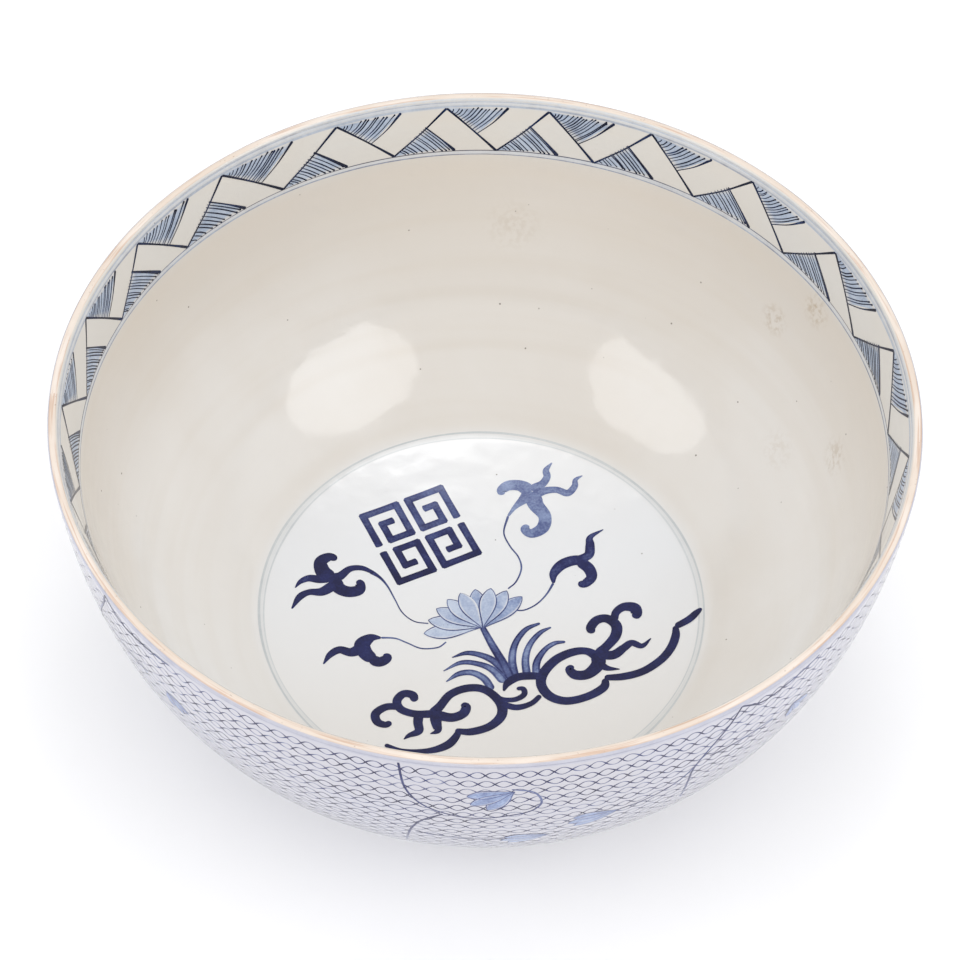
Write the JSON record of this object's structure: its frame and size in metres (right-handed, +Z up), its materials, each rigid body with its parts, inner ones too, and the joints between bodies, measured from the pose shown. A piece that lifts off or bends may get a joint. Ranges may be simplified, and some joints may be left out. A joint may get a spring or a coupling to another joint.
{
  "type": "porcelain serving bowl",
  "caption": "Large round open bowl with a steep rounded wall, a shallow dished well and a turned foot ring, glazed and painted inside and out, bare at the lip and foot.",
  "frame": {"origin": "centre of the flat face of the foot ring, on the plane that the bowl stands on", "axes": "+Z up along the axis that the bowl was turned on; X and Y lie in the standing plane, with -Y towards the side that the painting in the well faces"},
  "size_m": [0.4, 0.4, 0.188],
  "materials": {
    "fired_clay": "matt, fine-grained, unglazed and fired to a pale buff",
    "clear_glaze": "glossy, warm greyish white, with faint throwing lines, pinholes and specks",
    "dark_cobalt": "glossy, brushed strokes of dark cobalt blue with paler washed patches",
    "pale_cobalt": "glossy, thin pale cobalt wash"
  },
  "bodies": {
    "root": {"thrown_body": "fired_clay", "foot_ring": "fired_clay", "inside_glaze": "clear_glaze", "outside_glaze": "clear_glaze", "foot_well_glaze": "clear_glaze", "medallion_painting": "dark_cobalt", "border_painting": "dark_cobalt", "well_ring_painting": "pale_cobalt", "outside_painting": "pale_cobalt"}
  },
  "joints": []
}
